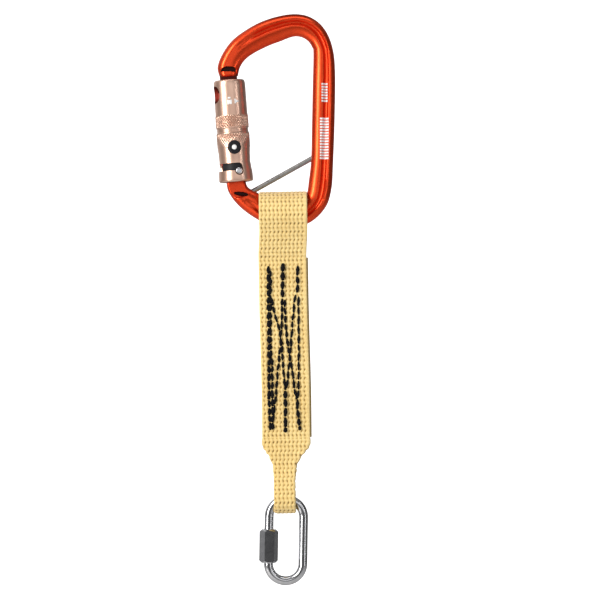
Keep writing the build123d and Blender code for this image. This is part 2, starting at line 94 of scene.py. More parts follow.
def lerp_table(table, at):
    """Smooth interpolation in a table of (position, value) with rising positions."""
    if at <= table[0][0]:
        return table[0][1]
    for (a, fa), (b, fb) in zip(table, table[1:]):
        if at <= b:
            t = (at - a) / (b - a)
            t = t * t * (3 - 2 * t)
            return fa + (fb - fa) * t
    return table[-1][1]


def arc(x, y, wide, tall, start, end, steps):
    """Points on an ellipse of half sizes wide and tall about (x, y), between two angles in degrees."""
    angles = [math.radians(start + (end - start) * i / steps) for i in range(steps + 1)]
    return [(x + wide * math.cos(a), y + tall * math.sin(a)) for a in angles]


def join_rings(count, ring, base=0, closed=False):
    """Faces between each ring of points and the next, and from the last to the first when closed."""
    faces = []
    for r in range(count if closed else count - 1):
        a, b = base + r * ring, base + (r + 1) % count * ring
        for k in range(ring):
            j = (k + 1) % ring
            faces.append((a + k, a + j, b + j, b + k))
    return faces


def end_caps(count, ring, base=0):
    """The faces that close the first and the last ring of an open run."""
    last = base + (count - 1) * ring
    return [tuple(range(base, base + ring)), tuple(reversed(range(last, last + ring)))]


def new_object(name, verts, faces, smooth=True):
    """A mesh object from vertices in millimetres."""
    mesh = bpy.data.meshes.new(name)
    mesh.from_pydata([tuple(v * MM) for v in verts], [], faces)
    mesh.validate()
    mesh.update()
    if smooth:
        mesh.polygons.foreach_set("use_smooth", [True] * len(mesh.polygons))
    obj = bpy.data.objects.new(name, mesh)
    bpy.context.collection.objects.link(obj)
    return obj


@contextmanager
def edited(obj):
    """The object's mesh as a bmesh, which is written back at the end."""
    bm = bmesh.new()
    bm.from_mesh(obj.data)
    yield bm
    bm.to_mesh(obj.data)
    bm.free()


def outward(obj):
    """Turn every face of a closed mesh outwards."""
    with edited(obj) as bm:
        bmesh.ops.recalc_face_normals(bm, faces=bm.faces)


def all_smooth(obj):
    obj.data.polygons.foreach_set("use_smooth", [True] * len(obj.data.polygons))


def point_values(obj, name, values):
    """Give the mesh one number for each vertex, which its material reads by name."""
    layer = obj.data.attributes.new(name, "FLOAT", "POINT")
    layer.data.foreach_set("value", values)


def finish_piece(obj, material, body=None):
    """Dress a piece in one material and tell the frame its body."""
    obj.data.materials.clear()
    obj.data.materials.append(material)
    if body:
        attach(obj, body)
    return obj


# ---------------------------------------------------------------- materials
# a Mix node's colour sockets, whose names its other sockets share
MIX_FACTOR, MIX_A, MIX_B, MIX_RESULT = 0, 6, 7, 2


def fill_ramp(ramp, stops):
    """Set a colour ramp's stops from (position, colour)."""
    elements = ramp.color_ramp.elements
    while len(elements) < len(stops):
        elements.new(0.5)
    for element, (at, colour) in zip(elements, stops):
        element.position = at
        element.color = (*colour, 1.0)


class Nodes:
    """A short way to write a material's node tree."""

    def __init__(self, name):
        self.mat = bpy.data.materials.new(name)
        self.mat.use_nodes = True
        self.tree = self.mat.node_tree
        self.tree.nodes.clear()
        self.out = self.add("ShaderNodeOutputMaterial")
        self.bsdf = self.add("ShaderNodeBsdfPrincipled")
        self.link(self.bsdf, "BSDF", self.out, "Surface")

    def add(self, kind, **inputs):
        node = self.tree.nodes.new(kind)
        for key, value in inputs.items():
            key = key.replace("_", " ")
            if key in node.inputs:
                node.inputs[key].default_value = value
            else:
                setattr(node, key.replace(" ", "_"), value)
        return node

    def link(self, a, out, b, into):
        self.tree.links.new(a.outputs[out], b.inputs[into])

    def set(self, **inputs):
        for key, value in inputs.items():
            self.bsdf.inputs[key.replace("_", " ")].default_value = value

    def noise(self, scale, detail=3.0, stretch=None):
        where = self.add("ShaderNodeTexCoord")
        noise = self.add("ShaderNodeTexNoise", Scale=scale, Detail=detail)
        if stretch:
            mapping = self.add("ShaderNodeMapping", Scale=stretch)
            self.link(where, "Object", mapping, "Vector")
            self.link(mapping, "Vector", noise, "Vector")
        else:
            self.link(where, "Object", noise, "Vector")
        return noise

    def ramp(self, source, out, stops):
        ramp = self.add("ShaderNodeValToRGB")
        fill_ramp(ramp, stops)
        self.link(source, out, ramp, "Fac")
        return ramp

    def mix(self, blend, factor, a, b):
        """The result of mixing two colours; each of the three is an output or a fixed value."""
        node = self.add("ShaderNodeMix", data_type="RGBA", blend_type=blend)
        for socket, value in ((MIX_FACTOR, factor), (MIX_A, a), (MIX_B, b)):
            if isinstance(value, bpy.types.NodeSocket):
                self.tree.links.new(value, node.inputs[socket])
            else:
                node.inputs[socket].default_value = value
        return node.outputs[MIX_RESULT]

    def span(self, source, out, low, high):
        span = self.add("ShaderNodeMapRange", To_Min=low, To_Max=high)
        self.link(source, out, span, "Value")
        return span

    def bump(self, source, out, strength, distance):
        bump = self.add("ShaderNodeBump", Strength=strength, Distance=distance)
        self.link(source, out, bump, "Height")
        self.link(bump, "Normal", self.bsdf, "Normal")


def anodised(name, colour, deep, roughness, coat):
    """Dyed aluminium, darkened to painted shade where the mesh's shade attribute is 1."""
    n = Nodes(name)
    n.set(Metallic=0.92, Coat_Weight=coat, Coat_Roughness=0.12)
    cloud = n.noise(60.0, 4.0)
    tone = n.ramp(cloud, "Fac", [(0.3, deep), (0.7, colour)])
    shade = n.add("ShaderNodeAttribute", attribute_name="shade")
    # the colour of the painted shade that the shade attribute mixes in
    painted_shade_colour = (0.02, 0.004, 0.003, 1.0)
    darkened = n.mix("MIX", shade.outputs["Fac"], tone.outputs["Color"], painted_shade_colour)
    n.tree.links.new(darkened, n.bsdf.inputs["Base Color"])
    grain = n.noise(2600.0, 2.0)
    rough = n.span(grain, "Fac", roughness - 0.05, roughness + 0.08)
    n.link(rough, "Result", n.bsdf, "Roughness")
    n.bump(grain, "Fac", 0.10, 0.00004)
    return n.mat


def steel(name, colour, roughness, stretch=None, streak=0.05):
    """Plain steel, with streaks when its noise is stretched."""
    n = Nodes(name)
    n.set(Metallic=1.0)
    cloud = n.noise(400.0, 3.0, stretch)
    tone = n.ramp(cloud, "Fac", [(0.25, tuple(c * 0.78 for c in colour)), (0.75, colour)])
    n.link(tone, "Color", n.bsdf, "Base Color")
    rough = n.span(cloud, "Fac", roughness, roughness + streak)
    n.link(rough, "Result", n.bsdf, "Roughness")
    fine = n.noise(5000.0, 2.0, stretch)
    n.bump(fine, "Fac", 0.08, 0.00003)
    return n.mat


def cloth(name, light, gap_shade_colour, warm):
    """Woven fibre, whose colour goes from light by way of warm to the gaps' painted shade with the weave
    attribute.
    """
    n = Nodes(name)
    n.set(Roughness=0.86, Sheen_Weight=0.35, Sheen_Roughness=0.5)
    weave_value = n.add("ShaderNodeAttribute", attribute_name="weave")
    tone = n.ramp(weave_value, "Fac", [(0.0, light), (0.45, warm), (1.0, gap_shade_colour)])
    cloud = n.noise(45.0, 3.0)
    tint = n.ramp(cloud, "Fac", [(0.35, (1.0, 0.97, 0.92)), (0.7, (0.93, 0.86, 0.74))])
    tinted = n.mix("MULTIPLY", 1.0, tone.outputs["Color"], tint.outputs["Color"])
    fibre = n.noise(2400.0, 4.0, (1.0, 1.0, 0.22))
    specks = n.ramp(fibre, "Fac", [(0.3, (0.84, 0.82, 0.78)), (0.6, (1.0, 1.0, 1.0))])
    specked = n.mix("MULTIPLY", 0.8, tinted, specks.outputs["Color"])
    n.tree.links.new(specked, n.bsdf.inputs["Base Color"])
    n.bump(fibre, "Fac", 0.5, 0.00018)
    return n.mat


def thread(name):
    n = Nodes(name)
    n.set(Roughness=0.8, Specular_IOR_Level=0.06)
    fibre = n.noise(3000.0, 3.0)
    tone = n.ramp(fibre, "Fac", [(0.3, (0.002, 0.002, 0.003)), (0.75, (0.012, 0.011, 0.012))])
    n.link(tone, "Color", n.bsdf, "Base Color")
    n.bump(fibre, "Fac", 0.4, 0.00008)
    return n.mat


def enamel(name, colour, roughness=0.4):
    n = Nodes(name)
    grain = n.noise(1800.0, 2.0)
    tone = n.ramp(grain, "Fac", [(0.3, tuple(c * 0.85 for c in colour)), (0.7, colour)])
    n.link(tone, "Color", n.bsdf, "Base Color")
    n.set(Roughness=roughness, Specular_IOR_Level=0.22)
    n.bump(grain, "Fac", 0.1, 0.00003)
    return n.mat


RED = anodised("red_anodised_aluminium", (0.80, 0.070, 0.016), (0.70, 0.052, 0.012), 0.27, 0.06)
ROSE = anodised("rose_anodised_aluminium", (0.72, 0.48, 0.37), (0.60, 0.37, 0.28), 0.30, 0.06)
BRIGHT = steel("bright_stainless", (0.58, 0.58, 0.60), 0.09)
DRAWN = steel("drawn_stainless_bar", (0.36, 0.345, 0.33), 0.24, (1.0, 1.0, 1.0), 0.1)
SPRING = steel("spring_wire", (0.45, 0.45, 0.46), 0.3)
# a near-black sheet for the painted shade behind the guide slot
SLOT_PAINTED_SHADE = enamel("sleeve_slot_painted_shade", (0.012, 0.012, 0.014), 0.5)
WHITE = enamel("white_print", (0.82, 0.82, 0.82))
BLACK = enamel("black_inlay", (0.008, 0.008, 0.01), 0.3)
WEB = cloth("woven_aramid", (0.88, 0.70, 0.33), (0.11, 0.06, 0.012), (0.62, 0.42, 0.13))
# the inner ply: the same cloth in darker colours, painted as shade
WEB_SHADE = cloth("woven_aramid_inner_ply_painted_shade", (0.40, 0.29, 0.12), (0.08, 0.05, 0.02), (0.26, 0.18, 0.07))
THREAD = thread("black_thread")
# the nose's key, painted near black as the shade in its recess
KEY_PAINTED_SHADE = anodised("nose_key_painted_shade", (0.10, 0.018, 0.012), (0.06, 0.012, 0.01), 0.4, 0.0)
# the walls of the sleeve's window and key cut, painted dark red as shade
SHADED_CUT = anodised("shaded_cut", (0.16, 0.018, 0.010), (0.10, 0.012, 0.008), 0.45, 0.0)


for node, material in (
    ("carabiner_body", RED), ("gate", RED), ("captive_bar", DRAWN), ("gate_hinge_pin", BRIGHT),
    ("guide_pin", BRIGHT), ("gate_plunger", BRIGHT), ("gate_spring", SPRING), ("sleeve_spring", SPRING),
    ("spring_seat", BRIGHT), ("link_body", BRIGHT), ("link_nut", BRIGHT),
):
    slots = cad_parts[node].data.materials
    slots.clear()
    slots.append(material)

# ---------------------------------------------------------------- woven webbing
WEB_HALF = 13.2
GAP_COLUMNS = 11
GAP_FIRST = -11.6
GAP_PITCH = 2.21
ROW_PITCH = 2.4
YARN_LEAN = 0.30        # how far the yarns slant, left and right by turns, in columns
COLUMN_SWAY = 0.10      # how far the columns wander, in columns
GAP_WIDE, GAP_TALL = 0.15, 0.26     # half sizes of a gap, in columns and in rows
VALLEY_WIDE = 0.13
RIDGE_HEIGHT, VALLEY_DEPTH, GAP_DEPTH = 0.17, 0.13, 0.5
SELVEDGE_HEIGHT, SELVEDGE_DEPTH = 0.10, 0.05
RIM, RIM_THINNER = 0.7, 0.45        # the cloth's edge, where it gets thinner by this share
# the cloth's inner face gets INNER_DARKER more painted shade
INNER_STRENGTH, INNER_DARKER = 0.4, 0.25    # the weave on the cloth's inner face


def weave(u, s, strength=1.0):
    """Height in mm and painted shade 0 to 1 of the weave at u across and s along the webbing: darker in the
    gaps, the valleys and between the ridges.
    """
    t = s / ROW_PITCH
    row = math.floor(t)
    f = t - row - 0.5
    slope = YARN_LEAN if row % 2 else -YARN_LEAN
    c = (u - GAP_FIRST) / GAP_PITCH
    c += COLUMN_SWAY * math.sin(math.pi * t)
    i = round(c)
    g = c - i
    inside = 1.0 if 0 <= i < GAP_COLUMNS else 0.0
    slant = g - slope * f
    gap = math.exp(-((slant / GAP_WIDE) ** 2) - (f / GAP_TALL) ** 2) * inside
    wobble = 0.75 + 0.25 * math.sin(i * 12.9 + row * 78.2)
    valley = math.exp(-(slant / VALLEY_WIDE) ** 2) * (1.0 if inside else 0.3)
    ridge = 0.5 - 0.5 * math.cos(2 * math.pi * f)
    crown = math.cos(math.pi * g) ** 2
    height = RIDGE_HEIGHT * ridge * (1.0 - 0.5 * crown) - VALLEY_DEPTH * valley - GAP_DEPTH * gap * wobble
    if not inside:
        height = SELVEDGE_HEIGHT * ridge - SELVEDGE_DEPTH
    # painted shade in the gaps, the valleys and the dips between the ridges
    dark = min(1.0, 1.15 * gap * wobble + 0.20 * valley + 0.12 * (1 - ridge))
    return height * strength, dark


def section(u, half, fold_radius):
    """Where a point u across the cloth lies when its edges are folded in at half: (x, depth, nx, nd)."""
    side = 1 if u >= 0 else -1
    a = abs(u)
    if a <= half:
        return side * a, 0.0, 0.0, -1.0
    rest = a - half
    turn = rest / fold_radius
    if turn < math.pi:
        x = half + fold_radius * math.sin(turn)
        d = fold_radius * (1 - math.cos(turn))
        return side * x, d, side * math.sin(turn), -math.cos(turn)
    x = half - (rest - math.pi * fold_radius)
    return side * x, 2 * fold_radius, 0.0, 1.0


def ribbon(name, path, columns, inner_columns, thickness, half_of, fold_radius, closed, shift=0.0):
    """A woven ribbon along a path of (y, v, normal_y, normal_v, length so far).

    thickness and half_of give the cloth's thickness and half its folded width at a height v."""
    outer = [-WEB_HALF + 2 * WEB_HALF * i / columns for i in range(columns + 1)]
    inner = [WEB_HALF - 2 * WEB_HALF * i / inner_columns for i in range(inner_columns + 1)]
    verts, dark = [], []
    for y, v, ny, nv, s in path:
        half = half_of(v)
        thick = thickness(v)
        for k, u in enumerate(outer + inner):
            x, d, nx, nd = section(u, half, fold_radius)
            if k <= columns:
                h, g = weave(u, s)
                rim = max(0.0, (abs(u) - WEB_HALF + RIM) / RIM)
                off = thick / 2 * (1 - RIM_THINNER * rim * rim) + h
                dark.append(g)
            else:
                h, g = weave(u, s, INNER_STRENGTH)
                off = -thick / 2 + h
                dark.append(min(1.0, g + INNER_DARKER))
            px = x + nx * off + shift + lerp_table(DRIFT, v)
            depth = d + nd * off
            verts.append(sling_point(px, y - ny * depth, v - nv * depth))
    ring = len(outer) + len(inner)
    faces = join_rings(len(path), ring, closed=closed)
    if not closed:
        faces += end_caps(len(path), ring)
    obj = new_object(name, verts, faces)
    outward(obj)
    # the weave attribute holds the painted shade
    point_values(obj, "weave", dark)
    return obj


def resample(points, step, closed):
    """Even steps along a dense polyline of (y, v), each with its outward normal and its distance."""
    pts = points + [points[0]] if closed else points
    total = sum(math.dist(a, b) for a, b in zip(pts, pts[1:]))
    count = round(total / step)
    out, walked, k = [], 0.0, 0
    for i in range(count if closed else count + 1):
        want = total * i / count
        while k < len(pts) - 2 and walked + math.dist(pts[k], pts[k + 1]) < want:
            walked += math.dist(pts[k], pts[k + 1])
            k += 1
        a, b = pts[k], pts[k + 1]
        d = math.dist(a, b)
        t = (want - walked) / d
        out.append((a[0] + (b[0] - a[0]) * t, a[1] + (b[1] - a[1]) * t, want))
    made = []
    n = len(out)
    for i, (y, v, s) in enumerate(out):
        p, q = out[(i - 2) % n], out[(i + 2) % n]
        if not closed:
            p, q = out[max(i - 2, 0)], out[min(i + 2, n - 1)]
        ty, tv = q[0] - p[0], q[1] - p[1]
        size = math.hypot(ty, tv)
        made.append((y, v, -tv / size, ty / size, s))
    return made, total


# the loop runs up the front, over the carabiner's basket, down the back and under the quick link
CROWN_MID = 10.75
PLY_MID = 1.72
SEWN_TOP = -24.8
SEWN_BOTTOM = -123.4
LINK_LEVEL = -157.52
LOOP_MID = 7.05
NECK_MID, NECK_TOP, NECK_BOTTOM = 2.1, -136.0, -141.0
lean = math.degrees(math.asin((CROWN_MID - PLY_MID) / -SEWN_TOP))
loop_lean = math.degrees(math.asin((LOOP_MID - NECK_MID) / (NECK_BOTTOM - LINK_LEVEL)))
front = [(-PLY_MID, SEWN_BOTTOM), (-PLY_MID, SEWN_TOP - 2.0), (-PLY_MID - 0.15, SEWN_TOP)]
over = arc(0, 0, CROWN_MID, CROWN_MID, 180 + lean, -lean, 60)
down = [(PLY_MID + 0.15, SEWN_TOP), (PLY_MID, SEWN_TOP - 2.0), (PLY_MID, SEWN_BOTTOM), (1.95, -130.0),
        (NECK_MID, NECK_TOP), (NECK_MID, NECK_BOTTOM)]
under = arc(0, LINK_LEVEL, LOOP_MID, LOOP_MID, loop_lean, -180 - loop_lean, 50)
up = [(-NECK_MID, NECK_BOTTOM), (-NECK_MID, NECK_TOP), (-1.95, -130.0)]
path, loop_length = resample(front + over + down + under + up, 0.42, True)

# half the folded width, and how far the loop's middle lies to the right, by height along the sling
HALF_WIDTHS = [(-147.0, 4.65), (-139.0, 5.3), (-134.0, 7.4), (-131.4, 9.5), (-129.0, 11.2), (-126.0, 12.6),
               (-123.0, 13.2)]
DRIFT = [(-150.0, -0.9), (-139.0, -0.6), (-127.0, 0.35), (-100.0, 0.5), (-48.0, 0.0), (-25.0, 0.0),
         (-8.0, 0.8), (12.0, 0.9)]
PLY_THICKNESS = 1.6
NO_FOLD = 20.0      # a half width beyond the cloth's own, so that nothing folds


def half_width(v):
    return lerp_table(HALF_WIDTHS, v)


def cloth_thickness(v):
    return lerp_table([(-138.0, 1.25), (-125.0, PLY_THICKNESS)], v)


sling = ribbon("sling_webbing", path, 66, 12, cloth_thickness, half_width, 0.72, True)
finish_piece(sling, WEB)
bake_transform(sling)
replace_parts(sling, "sling_upper_loop", "sling_link_loop")

ply_path, ply_length = resample([(0.0, SEWN_BOTTOM), (0.0, SEWN_TOP)], 0.5, False)
ply = ribbon("sling_inner_ply", ply_path, 52, 12, lambda v: PLY_THICKNESS, lambda v: NO_FOLD, 0.7, False,
             shift=0.85)
finish_piece(ply, WEB_SHADE, "sling")
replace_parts(ply, "sling_overlap_ply")


# ---------------------------------------------------------------- sewing
STITCH_STEPS, STITCH_AROUND = 14, 10
STITCH_FACE = 2.62      # the sewn zone's front and back face
STITCH_SINK = 0.30
ZIGZAG = 0.16
SIDE_JITTER = 0.08
GAP_JITTER = 0.15
SHORTEST = 1.2          # a rest of the line below this gets no stitch


def stitch(verts, faces, start, end, face_y, width):
    """One lockstitch: a short two-ply cord whose ends dive into the cloth."""
    along = Vector((end[0] - start[0], 0, end[1] - start[1]))
    length = along.length
    along /= length
    across = Vector((-along.z, 0, along.x))
    outwards = Vector((0, -1 if face_y < 0 else 1, 0))
    base = len(verts)
    for i in range(STITCH_STEPS + 1):
        t = i / STITCH_STEPS
        e = abs(2 * t - 1)
        swell = (1 - e ** 2.6) ** 0.6 if e < 1 else 0.0
        r = width / 2 * max(swell, 0.06)
        lift = 0.40 * width * (1 - 0.75 * e ** 3.0) - STITCH_SINK
        centre = Vector((start[0], 0, start[1])) + along * length * t
        for k in range(STITCH_AROUND):
            a = 2 * math.pi * k / STITCH_AROUND
            ply_r = r * (1 + 0.13 * math.cos(2 * a + 2.6 * length * t))
            p = centre + across * ply_r * math.cos(a) + outwards * (ply_r * math.sin(a) * 0.8 + lift)
            verts.append(sling_point(p.x, p.y + face_y, p.z))
    faces += join_rings(STITCH_STEPS + 1, STITCH_AROUND, base)
    faces += end_caps(STITCH_STEPS + 1, STITCH_AROUND, base)


def row_of_stitches(name, lines):
    """Stitches along smooth lines of (x, v), on the front and on the back of the sewn zone."""
    verts, faces = [], []
    for points, width, pitch, phase in lines:
        table = [(-v, x) for x, v in points]
        low, high = -points[0][1], -points[-1][1]
        for face_y in (-STITCH_FACE, STITCH_FACE):
            v = low + phase
            flip = 1
            while v < high - SHORTEST:
                size = min(pitch * random.uniform(0.78, 1.12), high - v)
                x0 = lerp_table(table, v) + ZIGZAG * flip + random.uniform(-SIDE_JITTER, SIDE_JITTER)
                x1 = lerp_table(table, v + size) - ZIGZAG * flip + random.uniform(-SIDE_JITTER, SIDE_JITTER)
                stitch(verts, faces, (x0, -v), (x1, -(v + size)), face_y, width * random.uniform(0.9, 1.1))
                v += size + random.uniform(-GAP_JITTER, GAP_JITTER)
                flip = -flip
    obj = new_object(name, verts, faces)
    outward(obj)
    finish_piece(obj, THREAD, "sling")
    return obj


# each line: points of (x, v), the thread's width, the stitches' pitch, and where the first one starts
rows = {
    "stitch_row_left": [
        ([(-7.9, -29.0), (-8.2, -51.6), (-8.3, -77.4), (-8.7, -103.6), (-8.2, -120.0)], 1.9, 4.8, 0.0),
        ([(-6.7, -29.6), (-7.0, -48.0), (-7.3, -77.0), (-6.6, -84.0), (-6.9, -103.0), (-7.0, -119.6)],
         1.7, 4.6, 2.1)],
    "stitch_row_middle": [
        ([(0.2, -27.6), (-0.1, -37.0), (-0.4, -46.6)], 2.3, 5.6, 0.0),
        ([(-0.7, -47.0), (-0.9, -62.0), (-1.7, -66.6), (-1.8, -73.0), (-2.8, -79.0), (-3.8, -88.0),
          (-4.9, -100.4), (-6.0, -108.0), (-6.6, -114.0)], 1.5, 4.8, 0.0),
        ([(0.3, -97.6), (0.3, -104.0), (0.0, -120.6)], 2.3, 5.2, 0.0)],
    "stitch_row_right": [
        ([(8.3, -29.0), (8.1, -37.0), (7.8, -45.4)], 2.0, 5.4, 0.0),
        ([(8.4, -46.0), (8.1, -71.5), (7.7, -94.0), (7.1, -102.0)], 1.5, 5.2, 0.0),
        ([(6.8, -102.4), (6.9, -108.5), (7.9, -119.6)], 2.0, 5.2, 0.0)],
    "stitch_bow_left": [
        ([(-6.2, -47.0), (-4.9, -55.0), (-3.1, -62.0), (-1.9, -66.6), (-1.0, -73.7), (-0.9, -82.0),
          (-0.3, -89.0), (0.3, -97.4)], 1.5, 4.8, 0.0)],
    "stitch_bow_right": [
        ([(6.8, -45.0), (5.7, -52.0), (4.7, -62.3), (3.8, -72.7), (2.9, -81.0), (2.1, -88.2), (1.0, -96.6)],
         1.5, 4.8, 0.0),
        ([(0.8, -47.6), (1.1, -62.3), (2.0, -71.4), (3.1, -79.8), (4.2, -84.3), (4.8, -91.0),
          (5.4, -97.3), (6.4, -102.6)], 1.5, 4.8, 0.0)],
}
for node, lines in rows.items():
    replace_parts(row_of_stitches(node + "_thread", lines), node)

# ---------------------------------------------------------------- locking sleeve
# the outer and the inner skin as (height, radius)
PROFILE = [(-2.9, 8.75), (-2.6, 9.15), (-2.2, 9.38), (-1.0, 9.42), (2.0, 9.3), (5.6, 8.82), (8.2, 8.52),
           (12.0, 8.62), (15.6, 8.9), (16.2, 9.05), (23.6, 9.08), (24.1, 8.95), (24.5, 8.6), (26.3, 8.6),
           (26.7, 8.95), (27.0, 9.05), (33.4, 9.02), (33.9, 8.85), (35.0, 8.8), (46.0, 8.76), (50.5, 8.72),
           (52.2, 8.5), (52.8, 8.2), (53.1, 7.75)]
INNER = [(53.1, 6.75), (52.6, 6.58), (33.5, 6.58), (33.4, 7.72), (-2.6, 7.72), (-2.9, 7.95)]
SLEEVE_AROUND = 252
DIAMONDS = 42
DIAMOND_TALL = 1.75
DIAMOND_DEPTH = 0.42
DIAMOND_FLAT = 0.62     # the share of a diamond that stays proud
BANDS_MEET = 25.4
# how much painted shade the sleeve's inner wall gets
INSIDE_SHADE = 0.9


def knurl_depth(height):
    """How deep the grip's diamonds are at a height on the sleeve."""
    upper = lerp_table([(27.0, 0.0), (27.6, 1.0), (32.6, 1.0), (34.2, 0.0)], height)
    lower = lerp_table([(15.6, 0.0), (20.0, 0.55), (22.8, 1.0), (23.8, 0.0)], height)
    return DIAMOND_DEPTH * (upper if height > BANDS_MEET else lower)


def spread(start, stop, step):
    """Heights from start, a step apart, up to but not including stop."""
    out = []
    while start < stop:
        out.append(start)
        start += step
    return out


def sleeve_mesh():
    """The sleeve's closed skin, knurled outside, with painted shade on the inside."""
    heights = [-2.9, -2.75, -2.6, -2.4, -2.2, -1.6, -1.0]
    heights += spread(0.0, 15.5, 0.7) + spread(15.6, 34.3, 0.19) + spread(34.8, 50.0, 0.9)
    heights += [50.5, 51.2, 51.8, 52.2, 52.5, 52.8, 52.95, 53.1]
    outer_rows = [(height, lerp_table(PROFILE, height), knurl_depth(height)) for height in heights]
    inner_rows = [(height, radius, 0.0) for height, radius in INNER]
    levels = outer_rows + inner_rows
    verts = []
    for height, radius, depth in levels:
        for k in range(SLEEVE_AROUND):
            azimuth = 360.0 * k / SLEEVE_AROUND
            r = radius
            if depth:
                a = math.radians(azimuth) * DIAMONDS
                b = height * 2 * math.pi / DIAMOND_TALL
                cut = max(abs(math.cos((a + b) / 2)), abs(math.cos((a - b) / 2)))
                r -= depth * max(0.0, (cut - DIAMOND_FLAT) / (1 - DIAMOND_FLAT))
            verts.append(gate_point(r, azimuth, height))
    shell = new_object("sleeve_shell", verts, join_rings(len(levels), SLEEVE_AROUND, closed=True))
    outside = len(outer_rows) * SLEEVE_AROUND
    point_values(shell, "shade", [0.0] * outside + [INSIDE_SHADE] * (len(verts) - outside))
    return shell


def cutter(name, outline, r_in, r_out):
    """A block bent round the gate's axis from an outline of (azimuth, height)."""
    n = len(outline)
    verts = [gate_point(r, azimuth, height) for r in (r_in, r_out) for azimuth, height in outline]
    faces = join_rings(2, n)
    faces.append(tuple(reversed(range(n))))
    faces.append(tuple(range(n, 2 * n)))
    obj = new_object(name, verts, faces, False)
    with edited(obj) as bm:
        bmesh.ops.triangulate(bm, faces=bm.faces)
        bmesh.ops.recalc_face_normals(bm, faces=bm.faces)
    return obj


def superellipse(azimuth, height, wide, tall, power, steps=48):
    """An oval of half sizes wide (degrees) and tall (mm) about a point on the sleeve."""
    out = []
    for i in range(steps):
        a = 2 * math.pi * i / steps
        c, s = math.cos(a), math.sin(a)
        out.append((azimuth + wide * math.copysign(abs(c) ** (2 / power), c),
                    height + tall * math.copysign(abs(s) ** (2 / power), s)))
    return out


PIN_AZIMUTH, PIN_RISE = -75.0, 2.9
SLOT_TURN = 110
POCKET_HALF = 2.35
SLOT_TOP = 7.35
SLOT_CORNER = 1.3       # the slot's top corners are this many times as tall as a pocket is wide
SLOT_RADIUS = 8.9       # the sleeve's outer radius there, which turns mm into degrees


def guide_slot():
    """The slot's outline: a level run with a round pocket at each end, where the guide pin rests."""
    half, rise, top, pin = POCKET_HALF, PIN_RISE, SLOT_TOP, PIN_AZIMUTH
    wide = half * math.degrees(1 / SLOT_RADIUS)
    tall = half * SLOT_CORNER
    far = pin - SLOT_TURN
    low = rise + 0.3
    return (arc(pin, rise, wide, half, 180, 360, 12) + arc(pin, top - tall, wide, tall, 0, 90, 10)
            + [(pin - 30, top), (pin - 60, top), (pin - 90, top)]
            + arc(far, top - tall, wide, tall, 90, 180, 6) + arc(far, rise, wide, half, 180, 360, 8)
            + [(far + wide + 1, low), (pin - 80, low), (pin - 50, low), (pin - wide - 1.0, low)])


def open_cut(azimuth, wide, bottom, top):
    """A round-bottomed cut that is open at the sleeve's top."""
    corner = 2
    steps = 8
    out = [(azimuth - wide, top), (azimuth - wide, bottom + corner)]
    out += arc(azimuth, bottom + corner, wide, corner, 180, 360, 12)[1:-1]
    out += [(azimuth + wide, bottom + corner), (azimuth + wide, top)]
    return out + [(azimuth + wide - 2 * wide * i / steps, top) for i in range(1, steps)]


sleeve = sleeve_mesh()
outward(sleeve)
sleeve.data.materials.append(ROSE)
PAST_SLEEVE = 11.0
# the window's and the key's cut walls take the painted shade material
for tool, inside in (
    (cutter("cut_slot", guide_slot(), 6.9, PAST_SLEEVE), ROSE),
    (cutter("cut_window", superellipse(198.0, 45.3, 32.0, 4.7, 2.4), 5.5, PAST_SLEEVE), SHADED_CUT),
    (cutter("cut_key", open_cut(70.0, 27.0, 45.4, 56.0), 5.0, PAST_SLEEVE), SHADED_CUT),
):
    tool.data.materials.append(inside)
    mod = sleeve.modifiers.new(tool.name, "BOOLEAN")
    mod.operation = "DIFFERENCE"
    mod.solver = "EXACT"
    mod.material_mode = "TRANSFER"
    mod.object = tool
    bpy.context.view_layer.update()
    depsgraph = bpy.context.evaluated_depsgraph_get()
    cut_mesh = bpy.data.meshes.new_from_object(sleeve.evaluated_get(depsgraph))
    sleeve.modifiers.clear()
    sleeve.data = cut_mesh
    bpy.data.objects.remove(tool)
all_smooth(sleeve)
sleeve.data.set_sharp_from_angle(angle=math.radians(35))
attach(sleeve, "sleeve")
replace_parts(sleeve, "lock_sleeve")


def patch(name, outline, centre, material, radius, thickness, rings=4):
    """A thin plate that lies on the sleeve, from an outline of (mm across, mm up) about a point."""
    azimuth, up_mm = centre
    deg = math.degrees(1 / radius)
    n = len(outline)
    verts = []
    for lift in (0.0, thickness):
        for k in range(rings + 1):
            f = k / rings
            for x, z in outline:
                verts.append(gate_point(radius + lift, azimuth + x * f * deg, up_mm + z * f))
    layer = (rings + 1) * n
    faces = join_rings(rings + 1, n) + join_rings(rings + 1, n, layer)
    a, b = rings * n, layer + rings * n
    for i in range(n):
        j = (i + 1) % n
        faces.append((a + i, a + j, b + j, b + i))
    obj = new_object(name, verts, faces)
    with edited(obj) as bm:
        bmesh.ops.remove_doubles(bm, verts=bm.verts, dist=1e-7)
        bmesh.ops.recalc_face_normals(bm, faces=bm.faces)
    return finish_piece(obj, material, "sleeve")


def disc(radius):
    return arc(0, 0, radius, radius, 0, 360, 40)[:-1]


def oblong(wide, tall):
    return [(-wide, -tall), (wide, -tall), (wide, tall), (-wide, tall)]


DISC_PLACE = (-87.0, 15.9)
MARK_RADIUS, MARK_THICK = 8.79, 0.05
patch("sleeve_black_inlay", disc(3.75), DISC_PLACE, BLACK, 9.04, 0.2, 6)
patch("sleeve_white_dot", disc(1.35), DISC_PLACE, WHITE, 9.25, 0.06, 3)
patch("sleeve_mark_square", oblong(1.3, 1.3), (-93.0, 40.6), WHITE, MARK_RADIUS, MARK_THICK)
patch("sleeve_mark_bar", oblong(0.8, 0.45), (-93.0, 42.9), WHITE, MARK_RADIUS, MARK_THICK)
patch("sleeve_mark_triangle", [(-1.3, -1.5), (1.5, 0.0), (-1.3, 1.5)], (-66.0, 40.9), WHITE, MARK_RADIUS,
      MARK_THICK)

SHADE_SHEET_SECTION = ((7.62, -2.4), (7.68, -2.3), (7.68, 7.9), (7.62, 8.05))


